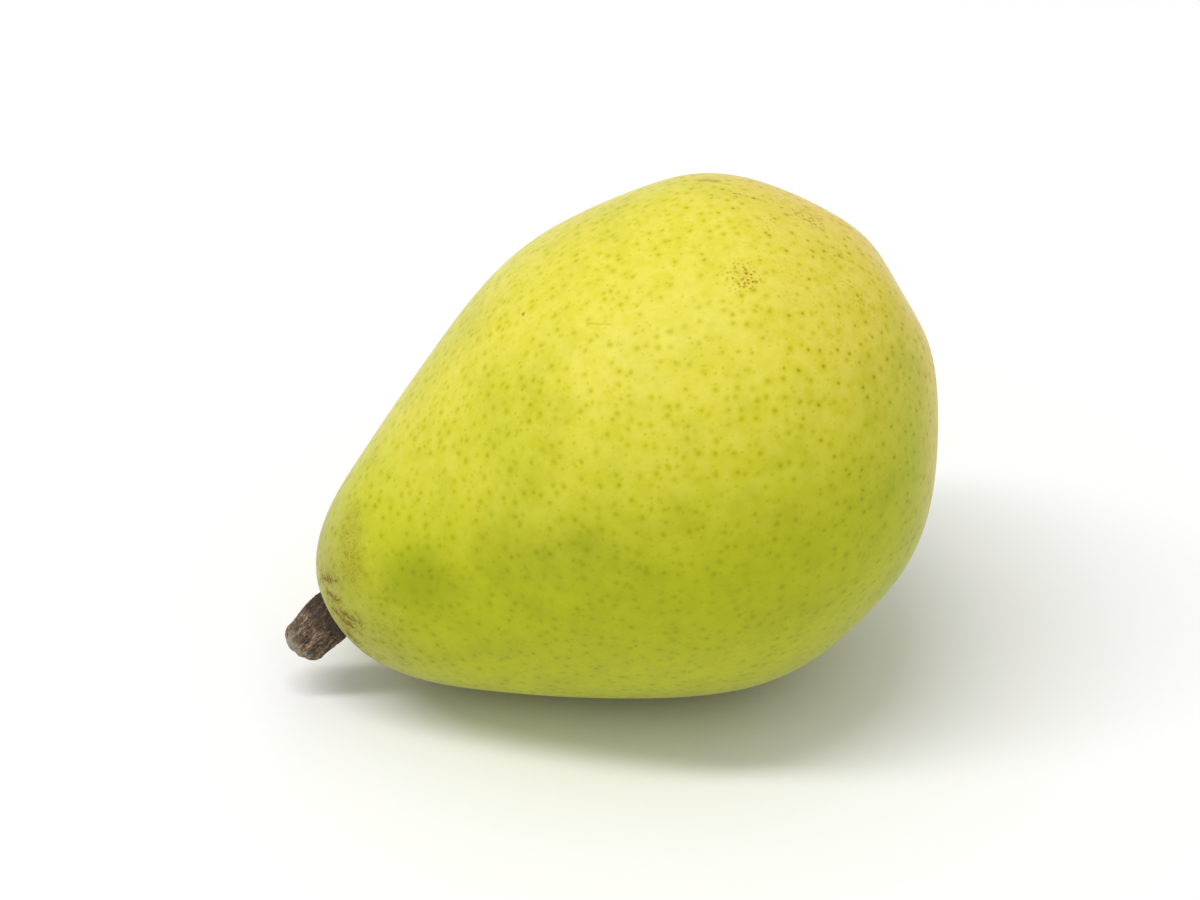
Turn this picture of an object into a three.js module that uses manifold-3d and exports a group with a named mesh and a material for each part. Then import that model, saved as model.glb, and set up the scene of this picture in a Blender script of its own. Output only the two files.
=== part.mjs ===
// A whole fresh pear lying on its side: the fruit, its woody stem and the dried calyx in the eye.
// Units are millimetres, +Z is up, and the stem points towards -X.
// The origin lies on the resting plane, in the middle of the pear's bounding box.

import * as THREE from 'three';
import { mergeVertices } from 'three/addons/utils/BufferGeometryUtils.js';
import Module from 'manifold-3d';

// Fruit. Its core runs from the stem end to the eye end.
const LENGTH = 91.7;
// Half-widths of the ellipsoid that the skin follows, at equal angles from the stem end to the eye end.
const HALF_WIDTHS = [16.5, 21, 24, 26.2, 30.7, 34.5, 35.9, 35.5, 32, 34.5];
const CORE_RISE = 1.3; // how far the core lifts at the stem end
const CORE_SAG = 3.9; // how far the core bows down at mid-length
const TILT = THREE.MathUtils.degToRad(29.3); // the core's slope as the pear lies
const FLAT_DEPTH = 0.5; // how deep the resting spot is pressed in

// Dimple at the stem, flattening of the other end, and the eye's basin, which lies beside the core and leans from it.
const DIMPLE_DEPTH = 2;
const DIMPLE_SPREAD = 4.5;
const FLAT_END = { depth: 1.95, spread: 10.4 };
const BASIN = { depth: 5.4, spread: 4.2 };
const EYE = { across: -6.3, up: -4.9, mouth: new THREE.Vector3(-6.3, 89.18, -5.09) };
const EYE_LEAN = THREE.MathUtils.degToRad(13);
const EYE_AXIS = new THREE.Vector3(0, 1, 0)
  .applyAxisAngle(new THREE.Vector3(EYE.up, 0, -EYE.across).normalize(), EYE_LEAN);
const EYE_FLOOR = -BASIN.depth; // along the eye's axis, from the basin's mouth

// Swells of the skin, as shares of its radius.
const EYE_RIBS = { count: 5, share: 0.012, phase: 0.6, from: 0.6 * Math.PI, to: 0.95 * Math.PI };
const NECK_RIBS = { count: 3, share: 0.014, phase: -1, from: 0.4 * Math.PI, to: 0.08 * Math.PI };
const SWELLS = [
  { round: 3, along: 4, share: 0.0035, phase: 0.4 },
  { round: 2, along: -7, share: 0.003, phase: 2 },
];

// Stem: a blunt stalk that droops from the dimple.
const STEM_RADIUS = 3.2;
const STEM_LIFT = 0.7; // how far it grows above the middle of the dimple
const STEM_SUNK = 4; // length inside the fruit
const STEM_OUT = 8.2; // length outside, measured from the bottom of the dimple
const STEM_RISE = 0.1; // slope of the sunk part across the core
const STEM_DROOP = THREE.MathUtils.degToRad(52); // slope of the free end below level
const STEM_TIP = { round: 1.8, share: 0.72 }; // length of the rounding and how far it closes the end
const STEM_FLARE = { height: 0.2, spread: 2.5 }; // thickening where it leaves the fruit
const BARK_RIDGES = { count: 7, height: 0.13, twist: 0.25 };
const BARK_LUMPS = { count: 2, height: 0.14, twist: 0.9 };

// Calyx: a disc that carries five dried sepals and a tuft of stamens.
const CALYX_RADIUS = 2.8;
const CALYX_SUNK = 2; // how far the disc reaches below the bottom of the basin
const CALYX_PROUD = 1; // and how far above it
const CALYX_SIDES = 30;
// Lengths of sepals and stamens are in millimetres; lean, rise and curl are shares of the length.
const SEPAL = {
  count: 5, length: [3.3, 4.3], width: 2.5, thickness: 0.6,
  taper: 0.72, taperPower: 1.6, cup: 0.35, rise: 0.6, lean: 0.12, curl: [0.1, 0.3], turnSpread: 0.25,
};
const STAMEN = {
  count: 9, length: [2.1, 3.1], radius: 0.36, reach: [0.5, 1.2],
  rise: 0.6, curl: 0.35, turnSpread: 0.4,
};
const TIP_RISE = 0.2; // how much further the tip rises, as a share of the length

const ROOT = 0.8; // how far sepals and stamens are sunk in the disc
const GAP = 0.3; // between pieces that touch
const FRUIT_RINGS = 46;
const FRUIT_SIDES = 60;
const STEM_RINGS = 16;
const STEM_SIDES = 28;
const SEED = 11;

const wasm = await Module();
wasm.setup();

function seededRandom(seed) {
  let state = seed;
  return () => {
    state = (state * 16807) % 2147483647;
    return state / 2147483647;
  };
}

// A closed geometry as a solid that can be joined and cut.
function solidOf(geometry) {
  const bare = geometry.clone();
  bare.deleteAttribute('normal');
  bare.deleteAttribute('uv');
  const merged = mergeVertices(bare, 1e-4);
  const corners = merged.index.array;
  const triangles = [];
  for (let i = 0; i < corners.length; i += 3) {
    const [a, b, c] = [corners[i], corners[i + 1], corners[i + 2]];
    if (a !== b && b !== c && c !== a) triangles.push(a, b, c);
  }
  return new wasm.Manifold(new wasm.Mesh({
    numProp: 3,
    vertProperties: new Float32Array(merged.attributes.position.array),
    triVerts: new Uint32Array(triangles),
  }));
}

function geometryOf(solid) {
  const { vertProperties, triVerts } = solid.getMesh();
  const geometry = new THREE.BufferGeometry();
  geometry.setAttribute('position', new THREE.BufferAttribute(new Float32Array(vertProperties), 3));
  geometry.setIndex(new THREE.BufferAttribute(new Uint32Array(triVerts), 1));
  geometry.computeVertexNormals();
  return geometry;
}

// Moves every vertex to where the rule puts it.
function reshape(geometry, rule) {
  const positions = geometry.attributes.position;
  const point = new THREE.Vector3();
  for (let i = 0; i < positions.count; i += 1) {
    point.fromBufferAttribute(positions, i);
    const moved = rule(point);
    positions.setXYZ(i, moved.x, moved.y, moved.z);
  }
  return geometry;
}

// The cosine series that passes through the half-widths at equal angles.
function cosineSeries(values) {
  const last = values.length - 1;
  const endShare = (k) => (k === 0 || k === last ? 0.5 : 1);
  return values.map((_, k) => {
    const sum = values.reduce((total, value, j) => (
      total + endShare(j) * value * Math.cos((k * j * Math.PI) / last)), 0);
    return (endShare(k) * 2 * sum) / last;
  });
}

const widthSeries = cosineSeries(HALF_WIDTHS);

// Skin radius, before swells, at an angle from 0 at the stem end to PI at the eye end.
function girth(angle) {
  const halfWidth = widthSeries.reduce((total, share, k) => total + share * Math.cos(k * angle), 0);
  return Math.sin(angle) * halfWidth;
}

// Height of the core above the straight line between its ends.
function coreOffset(along) {
  return CORE_RISE * (1 - along) ** 2 - CORE_SAG * Math.sin(Math.PI * along);
}

function swell(angle, turn) {
  const fade = (ribs) => {
    const share = THREE.MathUtils.clamp((angle - ribs.from) / (ribs.to - ribs.from), 0, 1);
    return share * share * (3 - 2 * share);
  };
  const ribbed = [EYE_RIBS, NECK_RIBS].reduce((total, ribs) => (
    total + ribs.share * fade(ribs) * Math.cos(ribs.count * turn + ribs.phase)), 1);
  return SWELLS.reduce((total, wave) => (
    total + wave.share * Math.sin(wave.round * turn + wave.along * angle + wave.phase)), ribbed);
}

// How deep a hollow is at a distance from its middle.
function hollow(distance, depth, spread) {
  return depth * Math.exp(-((distance / spread) ** 2));
}

// A point on the skin, in the fruit's own frame: Y along the core, Z its upper side.
function skinPoint(angle, turn) {
  const along = (1 - Math.cos(angle)) / 2;
  const radius = girth(angle) * swell(angle, turn);
  const across = -radius * Math.cos(turn);
  const up = radius * Math.sin(turn);
  const point = new THREE.Vector3(across, LENGTH * along, coreOffset(along) + up);
  if (angle < Math.PI / 2) {
    point.y += hollow(radius, DIMPLE_DEPTH, DIMPLE_SPREAD);
    return point;
  }
  point.y -= hollow(radius, FLAT_END.depth, FLAT_END.spread);
  const fromEye = Math.hypot(across - EYE.across, up - EYE.up);
  return point.addScaledVector(EYE_AXIS, -hollow(fromEye, BASIN.depth, BASIN.spread));
}

function fruitGeometry() {
  const profile = [];
  for (let i = 0; i <= FRUIT_RINGS; i += 1) {
    const angle = (Math.PI * i) / FRUIT_RINGS;
    const onAxis = i === 0 || i === FRUIT_RINGS;
    profile.push(new THREE.Vector2(onAxis ? 0 : 1, angle));
  }
  const lathe = new THREE.LatheGeometry(profile, FRUIT_SIDES);
  return reshape(lathe, (point) => skinPoint(point.y, Math.atan2(point.z, -point.x)));
}

// Bends a shape that stands along Y on to a curve, which Y runs along from 0 to length.
function bendAlong(geometry, curve, length) {
  const across = new THREE.Vector3(1, 0, 0);
  return reshape(geometry, (point) => {
    const share = THREE.MathUtils.clamp(point.y / length, 0, 1);
    const tangent = curve.getTangentAt(share);
    const over = new THREE.Vector3().crossVectors(across, tangent).normalize();
    return curve.getPointAt(share)
      .addScaledVector(across, point.x)
      .addScaledVector(over, point.z)
      .addScaledVector(tangent, point.y - share * length);
  });
}

function stemCurve() {
  const foot = new THREE.Vector3(0, DIMPLE_DEPTH, coreOffset(0) + STEM_LIFT);
  const slope = TILT - STEM_DROOP; // of the free end, seen from the core's own line
  const inward = new THREE.Vector3(0, 1, -STEM_RISE).normalize();
  const outward = new THREE.Vector3(0, -Math.cos(slope), Math.sin(slope));
  const start = foot.clone().addScaledVector(inward, STEM_SUNK);
  const end = foot.clone().addScaledVector(outward, STEM_OUT);
  return new THREE.QuadraticBezierCurve3(start, foot, end);
}

function stemRadius(y, fromEnd) {
  const flare = STEM_FLARE.height * Math.exp(-(((y - STEM_SUNK) / STEM_FLARE.spread) ** 2));
  const rounding = Math.max(0, 1 - fromEnd / STEM_TIP.round);
  return (STEM_RADIUS + flare) * Math.sqrt(1 - STEM_TIP.share * rounding ** 2);
}

function barkHeight(turn, y) {
  const ridge = BARK_RIDGES.height * Math.sin(BARK_RIDGES.count * turn + BARK_RIDGES.twist * y);
  return ridge + BARK_LUMPS.height * Math.sin(BARK_LUMPS.count * turn + BARK_LUMPS.twist * y);
}

// The stalk, or with spare above zero the socket that it sits in.
function stemGeometry(spare) {
  const curve = stemCurve();
  const length = curve.getLength();
  const profile = [new THREE.Vector2(0, -spare)];
  for (let i = 0; i <= STEM_RINGS; i += 1) {
    const y = -spare + (length + 2 * spare) * (i / STEM_RINGS);
    profile.push(new THREE.Vector2(stemRadius(y, length + spare - y) + spare, y));
  }
  profile.push(new THREE.Vector2(0, length + spare));
  const stalk = new THREE.LatheGeometry(profile, STEM_SIDES);
  reshape(stalk, (point) => {
    const radius = Math.hypot(point.x, point.z);
    const turn = Math.atan2(point.z, point.x);
    const grown = radius > 0 ? 1 + barkHeight(turn, point.y) / radius : 1;
    return new THREE.Vector3(point.x * grown, point.y, point.z * grown);
  });
  return bendAlong(stalk, curve, length);
}

// Moves a piece of the calyx from its own frame, with Y along the eye's axis, to the basin.
function inEye(geometry) {
  const turned = new THREE.Quaternion().setFromUnitVectors(new THREE.Vector3(0, 1, 0), EYE_AXIS);
  return geometry.applyQuaternion(turned).translate(EYE.mouth.x, EYE.mouth.y, EYE.mouth.z);
}

// The disc, or with spare above zero the socket that it sits in, which is open at the top.
function calyxDisc(spare) {
  const bottom = EYE_FLOOR - CALYX_SUNK - spare;
  const top = EYE_FLOOR + CALYX_PROUD + (spare > 0 ? BASIN.depth : 0);
  const radius = CALYX_RADIUS + spare;
  const disc = new THREE.CylinderGeometry(radius, radius, top - bottom, CALYX_SIDES);
  return disc.translate(0, (top + bottom) / 2, 0);
}

// A path that rises from the disc, then leans out by the curl.
function calyxCurve(length, reach, rise, lean, curl) {
  const start = new THREE.Vector3(0, EYE_FLOOR + CALYX_PROUD - ROOT, reach);
  const middle = start.clone().add(new THREE.Vector3(0, length * rise, length * lean));
  const tip = middle.clone().add(new THREE.Vector3(0, length * TIP_RISE, length * curl));
  return new THREE.QuadraticBezierCurve3(start, middle, tip);
}

function sepalGeometry(turn, length, curl) {
  const blade = new THREE.BoxGeometry(SEPAL.width, length, SEPAL.thickness, 4, 8, 1);
  blade.translate(0, length / 2, 0);
  reshape(blade, (point) => {
    const share = THREE.MathUtils.clamp(point.y / length, 0, 1);
    const taper = 1 - SEPAL.taper * share ** SEPAL.taperPower;
    const cup = (SEPAL.cup * point.x ** 2) / SEPAL.width;
    return new THREE.Vector3(point.x * taper, point.y, point.z - cup * taper);
  });
  const curve = calyxCurve(length, CALYX_RADIUS - ROOT, SEPAL.rise, SEPAL.lean, curl);
  return bendAlong(blade, curve, length).rotateY(turn);
}

function stamenGeometry(turn, length, reach) {
  const thread = new THREE.CylinderGeometry(STAMEN.radius, STAMEN.radius, length, 6, 3);
  thread.translate(0, length / 2, 0);
  const curve = calyxCurve(length, reach, STAMEN.rise, 0, STAMEN.curl);
  return bendAlong(thread, curve, length).rotateY(turn);
}

function calyxSolid(pose) {
  const random = seededRandom(SEED);
  const between = ([low, high]) => low + (high - low) * random();
  const turnOf = (i, kind) => (2 * Math.PI * (i + kind.turnSpread * random())) / kind.count;
  const pieces = [calyxDisc(0)];
  for (let i = 0; i < SEPAL.count; i += 1) {
    pieces.push(sepalGeometry(turnOf(i, SEPAL), between(SEPAL.length), between(SEPAL.curl)));
  }
  for (let i = 0; i < STAMEN.count; i += 1) {
    pieces.push(stamenGeometry(turnOf(i, STAMEN), between(STAMEN.length), between(STAMEN.reach)));
  }
  return pieces
    .map((piece) => solidOf(inEye(piece).applyMatrix4(pose)))
    .reduce((whole, piece) => whole.add(piece));
}

// The block below the resting plane.
function underFloor() {
  const size = 3 * LENGTH;
  return new THREE.BoxGeometry(size, size, size).translate(0, 0, -size / 2);
}

// The way the pear lies: its core slopes up from the stem to the eye, and its low side is on the floor.
function lyingPose() {
  const turned = new THREE.Matrix4().makeRotationFromEuler(new THREE.Euler(0, -TILT, -Math.PI / 2));
  const skin = fruitGeometry().applyMatrix4(turned);
  skin.computeBoundingBox();
  const lift = -skin.boundingBox.min.z - FLAT_DEPTH;
  return turned.premultiply(new THREE.Matrix4().makeTranslation(0, 0, lift));
}

function named(name, solid, colour, roughness) {
  const material = new THREE.MeshStandardMaterial({ color: colour, roughness, metalness: 0 });
  const mesh = new THREE.Mesh(geometryOf(solid), material);
  mesh.name = name;
  return mesh;
}

function buildPear() {
  const pose = lyingPose();
  const place = (geometry) => solidOf(geometry.applyMatrix4(pose));
  const fruit = place(fruitGeometry())
    .subtract(place(stemGeometry(GAP)))
    .subtract(place(inEye(calyxDisc(GAP))))
    .subtract(solidOf(underFloor()));
  const pear = new THREE.Group();
  pear.add(
    named('fruit', fruit, 0xcfcf45, 0.45),
    named('stem', place(stemGeometry(0)), 0x72614a, 0.9),
    named('calyx', calyxSolid(pose), 0x6b5338, 0.95),
  );
  const box = new THREE.Box3().setFromObject(pear);
  const centre = box.getCenter(new THREE.Vector3());
  pear.position.set(-centre.x, -centre.y, 0);
  return pear;
}

export default buildPear();
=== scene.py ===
"""A whole fresh pear that lies on its side: the fruit, its woody stem and the dried calyx in the eye."""

import math

import bpy
from bpy.props import FloatProperty, FloatVectorProperty, IntProperty, PointerProperty
from bpy.types import Operator, Panel, PropertyGroup
from mathutils import Matrix, Vector


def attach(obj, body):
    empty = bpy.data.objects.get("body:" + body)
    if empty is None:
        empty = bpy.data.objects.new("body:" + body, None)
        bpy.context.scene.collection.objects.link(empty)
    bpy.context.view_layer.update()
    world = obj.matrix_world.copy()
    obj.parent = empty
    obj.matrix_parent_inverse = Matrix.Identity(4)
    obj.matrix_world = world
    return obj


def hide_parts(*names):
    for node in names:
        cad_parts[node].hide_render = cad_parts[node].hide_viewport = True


bl_info = {
    "name": "Pear",
    "version": (1, 0, 0),
    "blender": (4, 5, 0),
    "location": "3D View > Sidebar > Pear",
    "description": "Grows a pear with its stem and calyx, and sets the floor and light it is seen in",
    "category": "Add Mesh",
}

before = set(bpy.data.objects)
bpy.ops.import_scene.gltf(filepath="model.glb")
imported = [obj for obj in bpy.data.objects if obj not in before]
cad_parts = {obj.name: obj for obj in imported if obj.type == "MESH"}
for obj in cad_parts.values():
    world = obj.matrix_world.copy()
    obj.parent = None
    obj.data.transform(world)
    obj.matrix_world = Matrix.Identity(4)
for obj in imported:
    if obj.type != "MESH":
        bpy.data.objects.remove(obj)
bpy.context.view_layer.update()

MM = 0.001

# Start, range and step of the random numbers.
CALYX_SEED = 11
SEED_RANGE = 2147483647
SEED_STEP = 16807

# How finely the stalk, its bend and the calyx's parts are divided.
BEND_STEPS = 48
STEM_GRID = {"Vertices": 128, "Side Segments": 150, "Fill Segments": 24}
LEAF_GRID = {"Vertices X": 13, "Vertices Y": 3, "Vertices Z": 33}
THREAD_GRID = {"Vertices": 12, "Side Segments": 20}
DISC_GRID = {"Vertices": 60, "Side Segments": 8, "Fill Segments": 14}

# Numbers of soft ribs on the fruit and of ridges and lumps round the stalk.
EYE_RIBS = 5
NECK_RIBS = 3
BARK_RIDGES = 7
BARK_LUMPS = 2

# Shortest sepal and stamen, and radius that the bark's pattern is drawn on, in millimetres.
SEPAL_LENGTH = 3.3
STAMEN_LENGTH = 2.1
BARK_RADIUS = 3.2

# Spacing of the spots in the skin and size of the bark's flakes, in millimetres.
PORE_SPACING = 1.85
SMALL_PORE_SPACING = 1.2
FLECK_SPACING = 0.6
FLAKE_SIZE = 0.85

# A spot whose middle lies this share of the spacing deep is still full, or already gone.
SHALLOW_SPOT = 0.34
DEEP_SPOT = 0.62

# Depth of the relief that is too fine for the mesh, in metres.
SKIN_RELIEF = 0.00006
BARK_RELIEF = 0.00026
CALYX_RELIEF = 0.0001

# The camera's film and the distances it sees between.
FILM_WIDTH = 36.0
NEAR, FAR = 0.01, 20.0


# ---------------- sizes and colours


def length(name, description, default):
    """A size in metres, given in millimetres."""
    return FloatProperty(name=name, description=description, default=default * MM, unit="LENGTH", precision=5)


def share(name, description, default, low=0.0, high=1.0):
    """A number without a unit."""
    return FloatProperty(name=name, description=description, default=default, min=low, max=high, precision=4)


def metres(name, description, default):
    """A distance in metres."""
    return FloatProperty(name=name, description=description, default=default, unit="LENGTH")


def angle(name, description, degrees):
    """An angle, given in degrees."""
    return FloatProperty(name=name, description=description, default=math.radians(degrees), unit="ROTATION")


def colour(name, description, default):
    """A colour in scene linear light."""
    return FloatVectorProperty(
        name=name, description=description, default=default, size=3, subtype="COLOR", min=0.0, max=1.0
    )


def point(name, description, default):
    """A place in metres, given in millimetres."""
    place = [c * MM for c in default]
    return FloatVectorProperty(
        name=name, description=description, default=place, size=3, subtype="XYZ", unit="LENGTH"
    )


class FruitSizes(PropertyGroup):
    """Sizes of the fruit. Its core runs from the stem end to the eye end."""

    core: length("Core length", "From the stem end to the eye end", 91.7)
    half_widths: FloatVectorProperty(
        name="Half-widths",
        description="At equal angles from the stem end to the eye end",
        default=[w * MM for w in (16.5, 21, 24, 26.2, 30.7, 34.5, 35.9, 35.5, 32, 34.5)],
        size=10,
        unit="LENGTH",
    )
    core_rise: length("Core rise", "How far the core lifts at the stem end", 1.3)
    core_sag: length("Core sag", "How far the core bows down at mid-length", 3.9)
    tilt: angle("Tilt", "Slope of the core as the pear lies", 29.3)
    place: point("Place", "Where the stem end of the core lies", (-38.4885, -0.096, 10.426))
    dimple_depth: length("Dimple depth", "Depth of the dimple at the stem", 2)
    dimple_spread: length("Dimple spread", "Radius over which the dimple fades", 4.5)
    flat_depth: length("Flat end depth", "How far the eye end is flattened", 1.95)
    flat_spread: length("Flat end spread", "Radius over which the flattening fades", 10.4)
    basin_depth: length("Basin depth", "Depth of the basin round the eye", 5.4)
    basin_spread: length("Basin spread", "Radius over which the basin fades", 4.2)
    eye_across: length("Eye across", "How far the middle of the basin lies beside the core", -6.3)
    eye_up: length("Eye up", "How far the middle of the basin lies above the core", -4.9)
    mouth: point("Mouth", "Middle of the basin's mouth: across, along the core, up", (-6.3, 89.18, -5.09))
    eye_lean: angle("Eye lean", "How far the eye leans from the core, to the side it lies on", 13)
    eye_ribs: share("Eye ribs", "Five ribs at the eye: height over radius", 0.012)
    neck_ribs: share("Neck ribs", "Three ribs at the neck: height over radius", 0.014)
    dents: length("Dents", "Height of the soft unevenness of the skin", 0.22)
    puckers: length("Puckers", "Height of the wrinkles round the stem", 0.9)
    segments: IntProperty(name="Segments", description="Faces round the fruit", default=288, min=24, max=400)
    rings: IntProperty(name="Rings", description="Faces along the fruit", default=240, min=24, max=400)


class StemSizes(PropertyGroup):
    """Sizes of the blunt stalk that droops from the dimple."""

    radius: length("Radius", "Radius of the stalk", 3.2)
    lift: length("Lift", "How far it grows above the middle of the dimple", 0.7)
    sunk: length("Sunk", "Length inside the fruit", 4)
    out: length("Out", "Length outside, from the bottom of the dimple", 8.2)
    rise: share("Rise", "Slope of the sunk part across the core", 0.1)
    droop: angle("Droop", "Slope of the free end below level", 52)
    tip_round: length("Tip rounding", "Length over which the free end closes", 1.8)
    tip_share: share("Tip closing", "How far the rounding closes the end", 0.72)
    flare: length("Flare", "Thickening where the stalk leaves the fruit", 0.2)
    flare_spread: length("Flare spread", "Length over which the thickening fades", 2.5)
    ridges: length("Bark ridges", "Height of the long ridges", 0.13)
    lumps: length("Bark lumps", "Height of the broad lumps", 0.14)
    cracks: length("Bark cracks", "Depth of the cracks between its scales", 0.3)


class CalyxSizes(PropertyGroup):
    """Sizes of the dried calyx: a disc with sepals and stamens."""

    radius: length("Disc radius", "Radius of the disc", 2.8)
    sunk: length("Disc sunk", "How far it reaches below the bottom of the basin", 2)
    proud: length("Disc proud", "How far it stands above the bottom of the basin", 1)
    root: length("Root", "How far sepals and stamens are sunk in the disc", 0.8)
    sepals: IntProperty(name="Sepals", description="Number of sepals", default=5, min=3, max=9)
    sepal_width: length("Sepal width", "Width of a sepal at its root", 2.5)
    sepal_thickness: length("Sepal thickness", "Thickness of a sepal at its middle line", 0.55)
    stamens: IntProperty(name="Stamens", description="Number of stamens", default=9, min=0, max=30)
    stamen_radius: length("Stamen radius", "Radius of a stamen", 0.3)


class SkinFinish(PropertyGroup):
    """Colours and gloss of the skin."""

    ripe: colour("Ripe", "Ripe, yellow skin", (0.81, 0.73, 0.085))
    # Green also stands for painted shade: it darkens the skin below, where less light falls.
    green: colour("Green", "Greener skin below and at the neck", (0.515, 0.55, 0.003))
    # Cheek is partly the greenest skin and partly painted shade on the lower cheeks; the fine grain uses it
    # too.
    cheek_green_and_shade: colour("Cheek", "The greenest places", (0.34, 0.385, 0.001))
    # Tan also lightens the rim turned from the camera at the eye end, as painted rim light.
    tan: colour("Tan", "Warm, weathered skin at the eye end", (0.9, 0.675, 0.12))
    neck: colour("Neck", "Dull skin next to the stem", (0.4, 0.37, 0.125))
    mottle: colour("Mottle", "Tint of the deeper clouds in the skin", (0.93, 0.93, 0.45))
    pore: colour("Pore", "Tint of the small soft spots of the skin", (0.79, 0.82, 0.03))
    fleck: colour("Fleck", "Tint of the small corky flecks", (0.54, 0.29, 0.06))
    crumb: colour("Crumb", "Tint of the brown crumbs at the neck", (0.6, 0.47, 0.14))
    russet: colour("Russet", "Corky brown skin at the stem", (0.25, 0.165, 0.004))
    golden: colour("Golden", "Corky skin round the eye", (0.56, 0.33, 0.05))
    # Scar also serves as painted contact shade round the stem's foot.
    scar_and_shade: colour("Scar", "The darkest spots and scratches", (0.13, 0.085, 0.01))
    roughness: share("Roughness", "Roughness of clean skin", 0.46)
    wax: share("Wax", "Strength of the waxy coat", 0.2)


class BarkFinish(PropertyGroup):
    """Colours of the stalk's bark."""

    brown: colour("Brown", "Sound bark", (0.235, 0.155, 0.095))
    # Dark is also painted shade on the stalk next to the fruit.
    dark: colour("Dark", "Inside the cracks and at the fruit", (0.04, 0.027, 0.02))
    fresh: colour("Fresh", "Bark that has just flaked", (0.62, 0.34, 0.17))
    grey: colour("Grey", "Weathered bark", (0.46, 0.41, 0.33))


class CalyxFinish(PropertyGroup):
    """Colours of the dried calyx."""

    brown: colour("Brown", "Dried leaves", (0.17, 0.11, 0.06))
    dark: colour("Dark", "Pit and roots", (0.03, 0.018, 0.01))
    tip: colour("Tip", "Bleached tips", (0.38, 0.3, 0.2))


class StageSettings(PropertyGroup):
    """Floor, light and camera."""

    floor: colour("Floor", "White card", (0.93, 0.93, 0.93))
    floor_size: metres("Floor size", "Side of the floor", 6.0)
    overhead: share("Overhead", "Soft light from straight above", 0.9, 0, 10)
    horizon: share("Horizon", "Soft light from the side", 0.22, 0, 10)
    key: share("Key", "Power of the long lamp overhead", 34.0, 0, 1000)
    key_distance: metres("Key distance", "Distance of the lamp", 2.5)
    key_lean: angle("Key lean", "How far the lamp leans towards the camera", 9)
    key_side: angle("Key side", "How far it leans to the left", 20)
    key_length: angle("Key length", "Length of the lamp as the pear sees it", 52)
    key_width: angle("Key width", "Width of the lamp as the pear sees it", 8)
    eye: point("Camera", "Where the camera stands", (-80.21, -407.01, 313.23))
    aim: point("Aim", "What the camera points at", (-1.0, 0.0, 34.0))
    lens: FloatProperty(name="Lens", description="In millimetres", default=112.0)


# ---------------- node trees


def chained(operation, swapped=False):
    """A method that adds a Math node, with the field as its first value, or swapped to the last."""

    def method(self, *others):
        return self.tree.math(operation, *((*others, self) if swapped else (self, *others)))

    return method


class Field:
    """A socket of a node tree. Arithmetic on it adds Math nodes."""

    def __init__(self, tree, socket):
        self.tree = tree
        self.socket = socket

    __add__ = chained("ADD")
    __radd__ = chained("ADD", swapped=True)
    __sub__ = chained("SUBTRACT")
    __rsub__ = chained("SUBTRACT", swapped=True)
    __mul__ = chained("MULTIPLY")
    __rmul__ = chained("MULTIPLY", swapped=True)
    __truediv__ = chained("DIVIDE")
    __pow__ = chained("POWER")
    sin = chained("SINE")
    cos = chained("COSINE")
    exp = chained("EXPONENT")
    root = chained("SQRT")
    unsigned = chained("ABSOLUTE")
    at_least = chained("MAXIMUM")
    at_most = chained("MINIMUM")
    above = chained("GREATER_THAN")

    def __neg__(self):
        return self * -1.0

    def rise(self, low, high):
        """A smooth step from 0 at low to 1 at high. It falls where low is the larger."""
        inputs = {"Value": self, "From Min": low, "From Max": high}
        return self.tree.field("ShaderNodeMapRange", inputs, "Result", interpolation_type="SMOOTHSTEP")


class Tree:
    """A node tree that nodes are added to."""

    def __init__(self, tree):
        self.tree = tree

    def node(self, kind, inputs=None, **settings):
        """Adds a node. Settings come first, then the values or links of its inputs, by name or number."""
        node = self.tree.nodes.new(kind)
        for name, value in settings.items():
            setattr(node, name, value)
        for name, value in (inputs or {}).items():
            self.feed(node.inputs[name], value)
        return node

    def feed(self, socket, value):
        if isinstance(value, Field):
            self.tree.links.new(value.socket, socket)
        elif socket.type == "RGBA" and len(value) == 3:
            socket.default_value = (*value, 1.0)
        else:
            socket.default_value = value

    def out(self, node, name=0):
        return Field(self, node.outputs[name])

    def field(self, kind, inputs=None, name=0, **settings):
        """Adds a node of which one output is used."""
        return self.out(self.node(kind, inputs, **settings), name)

    def math(self, operation, *values):
        return self.field("ShaderNodeMath", dict(enumerate(values)), operation=operation)

    def vector(self, operation, *values):
        """Adds a Vector Math node that gives a vector."""
        return self.field("ShaderNodeVectorMath", dict(enumerate(values)), "Vector", operation=operation)

    def number(self, operation, *values):
        """Adds a Vector Math node that gives a number."""
        return self.field("ShaderNodeVectorMath", dict(enumerate(values)), "Value", operation=operation)

    def split(self, vector):
        node = self.node("ShaderNodeSeparateXYZ", {0: vector})
        return [self.out(node, i) for i in range(3)]

    def join(self, x, y, z):
        return self.field("ShaderNodeCombineXYZ", {0: x, 1: y, 2: z})

    def noise(self, place, size, detail=2.0, roughness=0.5, distortion=0.0):
        """Cloudy noise from 0 to 1, about 0.5, with lumps of the given size in the place's own unit."""
        shape = {"Scale": 1 / size, "Detail": detail, "Roughness": roughness, "Distortion": distortion}
        return self.field("ShaderNodeTexNoise", {"Vector": place, **shape})

    def to_edge(self, place, size):
        """The distance to the nearest edge between scattered cells of the given size."""
        inputs = {"Vector": place, "Scale": 1 / size}
        return self.field("ShaderNodeTexVoronoi", inputs, "Distance", feature="DISTANCE_TO_EDGE")

    def scale(self, vector, factor):
        return self.field("ShaderNodeVectorMath", {0: vector, "Scale": factor}, operation="SCALE")

    def join_parts(self, *parts):
        merged = self.node("GeometryNodeJoinGeometry")
        for part in parts:
            self.tree.links.new(part.socket, merged.inputs[0])
        return self.out(merged)


def add_object(name, data):
    thing = bpy.data.objects.new(name, data)
    bpy.context.scene.collection.objects.link(thing)
    return thing


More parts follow.
